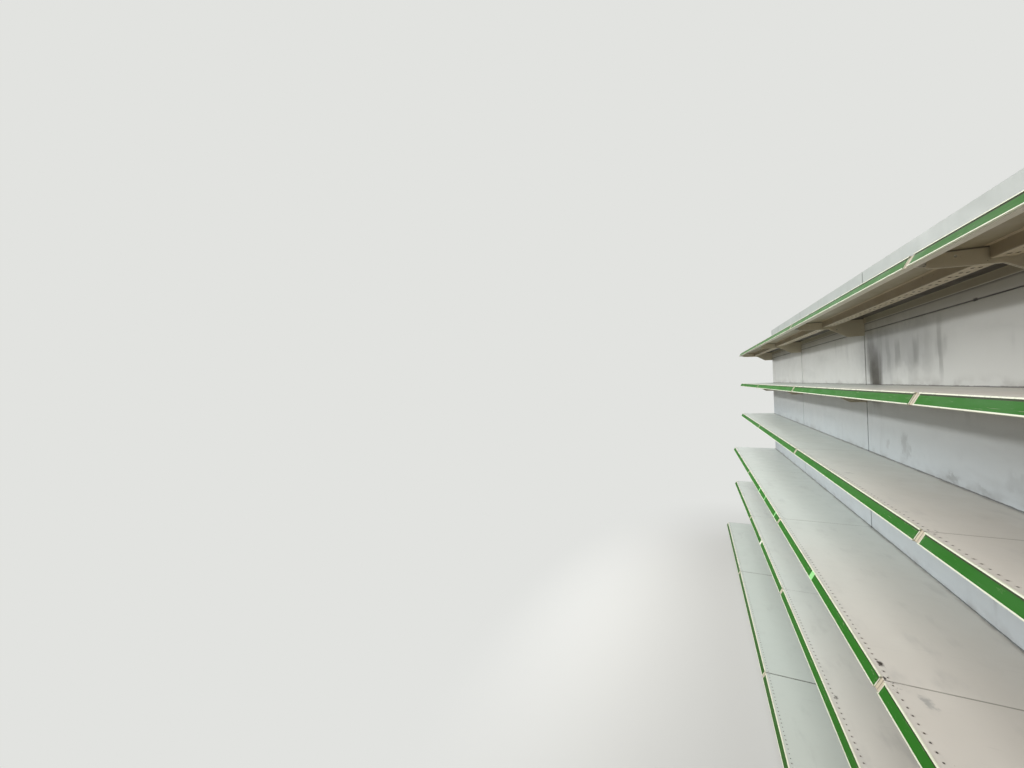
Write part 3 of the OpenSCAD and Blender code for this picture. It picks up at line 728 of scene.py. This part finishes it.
def repeat(piece, offset, count):
    """Copies of the whole piece, one after the other along offset."""
    array = piece.modifiers.new("repeat", "ARRAY")
    array.use_relative_offset = False
    array.use_constant_offset = True
    array.constant_offset_displace = offset
    array.count = count
    bpy.ops.object.modifier_apply(modifier=array.name)


def finish_piece(piece, name, material):
    """Name a piece, put its place into its mesh, and let it ride with the shelving."""
    bpy.ops.object.transform_apply(location=True, rotation=True, scale=True)
    piece.name = name
    piece.data.name = name
    piece.data.materials.clear()
    piece.data.materials.append(material)
    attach(piece, "root")
    return piece


# Blank tickets in the price channels, the light green ones standing in partly for glints on the strips:
# the row, the place along it, the width, the colour
TICKETS = (
    ("shelf_2", 0.690, 0.036, "green"),
    ("shelf_2", -0.120, 0.016, "green"),
    ("shelf_2", -0.480, 0.016, "green"),
    ("shelf_2", -0.710, 0.024, "green"),
    ("shelf_1", -0.744, 0.034, "white"),
)
TICKET_HEIGHT = 0.0315
TICKET_CARD = 0.00025
TICKET_OUT = 0.00062
TICKET_CORNER = 0.0015


def blank_ticket(row, along, width, material):
    """A bare card behind the lips of a price channel, in front of the coloured strip."""
    low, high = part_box(row + "_price_inserts")
    outward = Vector((0, -math.cos(FRONT_SLOPE), math.sin(FRONT_SLOPE)))
    place = Vector((along, (low.y + high.y) / 2, (low.z + high.z) / 2)) + outward * TICKET_OUT
    start_piece()
    bpy.ops.mesh.primitive_plane_add(size=1, location=place, rotation=(math.pi / 2 - FRONT_SLOPE, 0, 0))
    card = bpy.context.object
    card.scale = (width, TICKET_HEIGHT, 1)
    bpy.ops.object.transform_apply(location=False, rotation=False, scale=True)
    bpy.ops.object.mode_set(mode="EDIT")
    bpy.ops.mesh.select_all(action="SELECT")
    bpy.ops.mesh.bevel(offset=TICKET_CORNER, segments=3, affect="VERTICES")
    bpy.ops.object.mode_set(mode="OBJECT")
    thick = card.modifiers.new("card", "SOLIDIFY")
    thick.thickness = TICKET_CARD
    thick.offset = 0
    bpy.ops.object.modifier_apply(modifier=thick.name)
    name = "ticket_%s_%s" % (row, str(round(along * 1000)).replace("-", "m"))
    return finish_piece(card, name, material)


# Spot welds that hold the stiffeners under the decks
WELD_RADIUS = 0.003
WELD_PITCH = 0.1
WELDS = 13
WELD_PROUD = 0.0003
# The rim of a weld, the bank inside it, and how deep the dish goes
WELD_RIM = 0.35 * WELD_RADIUS
WELD_BANK = 0.2 * WELD_RADIUS
WELD_DISH = 0.8 * WELD_PROUD


def spot_welds(row, material):
    """A line of dished spot welds along both flanges of the stiffener in every bay."""
    middle = PANEL_FACE - SHELF_DEPTH[row] / 2
    apart = 2 * STIFFENER_HALF + FLANGE_WIDTH
    first = Vector((
        -RUN_END + BAY_LENGTH / 2 - WELD_PITCH * (WELDS - 1) / 2,
        middle - apart / 2,
        DECK_TOP[row] - 2 * SHEET,
    ))
    start_piece()
    bpy.ops.mesh.primitive_cylinder_add(
        vertices=12,
        radius=WELD_RADIUS,
        depth=2 * WELD_PROUD,
        location=first,
    )
    weld = bpy.context.object
    bpy.ops.object.mode_set(mode="EDIT")
    bpy.ops.mesh.select_all(action="DESELECT")
    bpy.ops.object.mode_set(mode="OBJECT")
    # The face that points down is the one to dish
    for face in weld.data.polygons:
        face.select = face.normal.z < -0.9
    bpy.ops.object.mode_set(mode="EDIT")
    bpy.ops.mesh.select_mode(type="FACE")
    bpy.ops.mesh.inset(thickness=WELD_RIM)
    bpy.ops.mesh.inset(thickness=WELD_BANK)
    bpy.ops.transform.translate(value=(0, 0, WELD_DISH))
    bpy.ops.object.mode_set(mode="OBJECT")
    repeat(weld, (WELD_PITCH, 0, 0), WELDS)
    repeat(weld, (0, apart, 0), 2)
    repeat(weld, (BAY_LENGTH, 0, 0), BAYS)
    return finish_piece(weld, row + "_spot_welds", material)


# Dark plugs a little below the paint in the slots of the decks: painted shade inside each slot, with
# some packed grime
PLUG_BELOW = 0.0003
PLUG_THICK = 0.0004
PLUG_GAP = 0.0001
PLUG_LONG = SLOT_LONG - 2 * PLUG_GAP
PLUG_WIDE = SLOT_WIDE - 2 * PLUG_GAP


def slot_shade_and_grime(row, material):
    """A rounded dark plug of painted shade, with some packed grime, in every slot along the front of a
    row of decks.
    """
    first = Vector((
        -RUN_END + BAY_LENGTH / 2 - SLOT_PITCH * (SLOTS_IN_BAY - 1) / 2,
        DECK_EDGE[row] + SLOT_BACK,
        DECK_TOP[row] - PLUG_BELOW,
    ))
    start_piece()
    bpy.ops.mesh.primitive_circle_add(vertices=8, radius=PLUG_WIDE / 2, fill_type="NGON", location=first)
    plug = bpy.context.object
    plug.scale = (PLUG_LONG / PLUG_WIDE, 1, 1)
    bpy.ops.object.transform_apply(location=False, rotation=False, scale=True)
    bpy.ops.object.mode_set(mode="EDIT")
    bpy.ops.mesh.select_all(action="SELECT")
    bpy.ops.mesh.extrude_region_move(TRANSFORM_OT_translate={"value": (0, 0, -PLUG_THICK)})
    bpy.ops.mesh.select_all(action="SELECT")
    bpy.ops.mesh.normals_make_consistent(inside=False)
    bpy.ops.object.mode_set(mode="OBJECT")
    repeat(plug, (SLOT_PITCH, 0, 0), SLOTS_IN_BAY)
    repeat(plug, (BAY_LENGTH, 0, 0), BAYS)
    return finish_piece(plug, row + "_slot_shade_and_grime", material)


# Threads on the stems of the levelling feet
THREAD_PITCH = 0.0015
THREAD_LOW = 0.0085
THREAD_TURNS = 6
THREAD_HALF = 0.4 * THREAD_PITCH


def stem_threads(material):
    """Ridges of the thread that shows between the disc and the nut of every levelling foot."""
    low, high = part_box("levelling_feet")
    first = (low.x + FOOT_DISC, low.y + FOOT_DISC, THREAD_LOW)
    start_piece()
    bpy.ops.mesh.primitive_torus_add(
        major_segments=20,
        minor_segments=5,
        major_radius=STEM_RADIUS,
        minor_radius=THREAD_HALF,
        location=first,
    )
    ridge = bpy.context.object
    repeat(ridge, (0, 0, THREAD_PITCH), THREAD_TURNS)
    repeat(ridge, (0, high.y - low.y - 2 * FOOT_DISC, 0), 2)
    repeat(ridge, (BAY_LENGTH, 0, 0), BAYS + 1)
    bpy.ops.object.shade_smooth()
    return finish_piece(ridge, "stem_threads", material)


# The light green cards stand in partly for glints on the strips
cards = {"white": card_finish("white_card", CARD_WHITE), "green": card_finish("green_card_glint", CARD_GREEN_GLINT)}
for row, along, width, colour in TICKETS:
    blank_ticket(row, along, width, cards[colour])
# Dark plugs of painted shade, with some packed grime, in the slots
slot_fill = slot_fill_finish()
for row in ROWS:
    spot_welds(row, SLOT_FINISHES["stiffeners"])
    slot_shade_and_grime(row, slot_fill)
stem_threads(zinc_finish())


def stage_floor():
    """A plain pale floor that keeps the shadow near the shelving and fades into the surround."""
    start_piece()
    bpy.ops.mesh.primitive_plane_add(size=FLOOR_SIZE)
    floor = bpy.context.object
    floor.name = "floor"
    pale = Finish("floor_pale", FLOOR_BOUNCE, 0.7)
    rays = pale.add("ShaderNodeLightPath")
    shown = pale.math("MAXIMUM", rays.outputs["Is Camera Ray"], rays.outputs["Is Glossy Ray"])
    pale.paint(shown, FLOOR_COLOUR)
    pale.bump(pale.noise(0.02), 0.0002, 0.2)
    floor.data.materials.append(pale.done(Specular_IOR_Level=0.2))
    ring = pale.add("ShaderNodeVectorMath", {"operation": "MULTIPLY"})
    pale.feed(ring.inputs[0], pale.place)
    pale.feed(ring.inputs[1], FADE_RING)
    far = pale.add("ShaderNodeVectorMath", {"operation": "LENGTH"})
    pale.feed(far.inputs[0], ring.outputs[0])
    fade = pale.between(far.outputs["Value"], FADE_START, FADE_END)
    glow = pale.add("ShaderNodeEmission", Color=SURROUND_COLOUR, Strength=1.0)
    mix = pale.add("ShaderNodeMixShader", Fac=pale.times(fade, rays.outputs["Is Camera Ray"]))
    pale.feed(mix.inputs[1], pale.shader.outputs[0])
    pale.feed(mix.inputs[2], glow.outputs[0])
    pale.feed(pale.tree.nodes["Material Output"].inputs["Surface"], mix.outputs[0])


def background():
    """A pale surround that the camera and reflections see, and a dimmer one that lights the shelving."""
    world = bpy.data.worlds.new("surround")
    bpy.context.scene.world = world
    world.use_nodes = True
    nodes, links = world.node_tree.nodes, world.node_tree.links
    nodes.clear()
    output = nodes.new("ShaderNodeOutputWorld")
    seen = nodes.new("ShaderNodeBackground")
    seen.inputs["Color"].default_value = SURROUND_COLOUR
    seen.inputs["Strength"].default_value = 1.0
    fill = nodes.new("ShaderNodeBackground")
    fill.inputs["Color"].default_value = FILL_COLOUR
    fill.inputs["Strength"].default_value = FILL_STRENGTH
    rays = nodes.new("ShaderNodeLightPath")
    either = nodes.new("ShaderNodeMath")
    either.operation = "MAXIMUM"
    links.new(rays.outputs["Is Camera Ray"], either.inputs[0])
    links.new(rays.outputs["Is Glossy Ray"], either.inputs[1])
    mix = nodes.new("ShaderNodeMixShader")
    links.new(either.outputs[0], mix.inputs[0])
    links.new(fill.outputs[0], mix.inputs[1])
    links.new(seen.outputs[0], mix.inputs[2])
    links.new(mix.outputs[0], output.inputs["Surface"])


def soft_light(name, place, target, size, watts, colour):
    """A rectangular soft light at a place, turned to a target."""
    lamp = bpy.data.lights.new(name, "AREA")
    lamp.shape = "RECTANGLE"
    lamp.size, lamp.size_y = size
    lamp.energy = watts
    lamp.color = colour
    holder = bpy.data.objects.new(name, lamp)
    bpy.context.scene.collection.objects.link(holder)
    holder.location = place
    holder.rotation_euler = (Vector(target) - Vector(place)).to_track_quat("-Z", "Y").to_euler()


WARM_LIGHT = (1.0, 0.99, 0.97)
WHITE_LIGHT = (1.0, 1.0, 1.0)
COOL_LIGHT = (0.98, 0.99, 1.0)


def lights():
    """A wide soft light in front of the shelving, two small ones further out and one for the back."""
    soft_light("front_light", (0, -1.6, 3.3), (0, -1.6, 0), (7.0, 2.6), 94, WARM_LIGHT)
    soft_light("small_light_middle", (-0.2, -3.0, 2.9), (-0.2, -3.0, 0), (0.6, 0.6), 86, WHITE_LIGHT)
    soft_light("small_light_left", (-2.5, -3.0, 2.9), (-2.5, -3.0, 0), (0.6, 0.6), 78, WHITE_LIGHT)
    soft_light("back_light", (-1.5, 5.5, 3.6), (0, 0, 1.1), (5.0, 3.0), 90, COOL_LIGHT)


def camera():
    """The camera, turned by its yaw, then its pitch, then its roll."""
    forward_flat = Vector((-math.cos(CAMERA_YAW), -math.sin(CAMERA_YAW), 0))
    right_flat = Vector((-math.sin(CAMERA_YAW), math.cos(CAMERA_YAW), 0))
    up = Vector((0, 0, 1))
    forward = math.cos(CAMERA_PITCH) * forward_flat + math.sin(CAMERA_PITCH) * up
    above = math.cos(CAMERA_PITCH) * up - math.sin(CAMERA_PITCH) * forward_flat
    right = math.cos(CAMERA_ROLL) * right_flat + math.sin(CAMERA_ROLL) * above
    above = math.cos(CAMERA_ROLL) * above - math.sin(CAMERA_ROLL) * right_flat
    lens = bpy.data.cameras.new("camera")
    lens.sensor_width = SENSOR_WIDTH_MM
    lens.lens = CAMERA_LENS_MM
    lens.clip_start = 0.01
    lens.clip_end = 200
    holder = bpy.data.objects.new("camera", lens)
    bpy.context.scene.collection.objects.link(holder)
    place = Vector((RUN_END + CAMERA_PAST_RUN_END, PANEL_FACE - CAMERA_FROM_PANELS, CAMERA_HEIGHT))
    turn = Matrix((right, above, -forward)).transposed().to_4x4()
    holder.matrix_world = Matrix.Translation(place) @ turn
    bpy.context.scene.camera = holder


stage_floor()
background()
lights()
camera()
bpy.context.scene.view_settings.view_transform = "Standard"
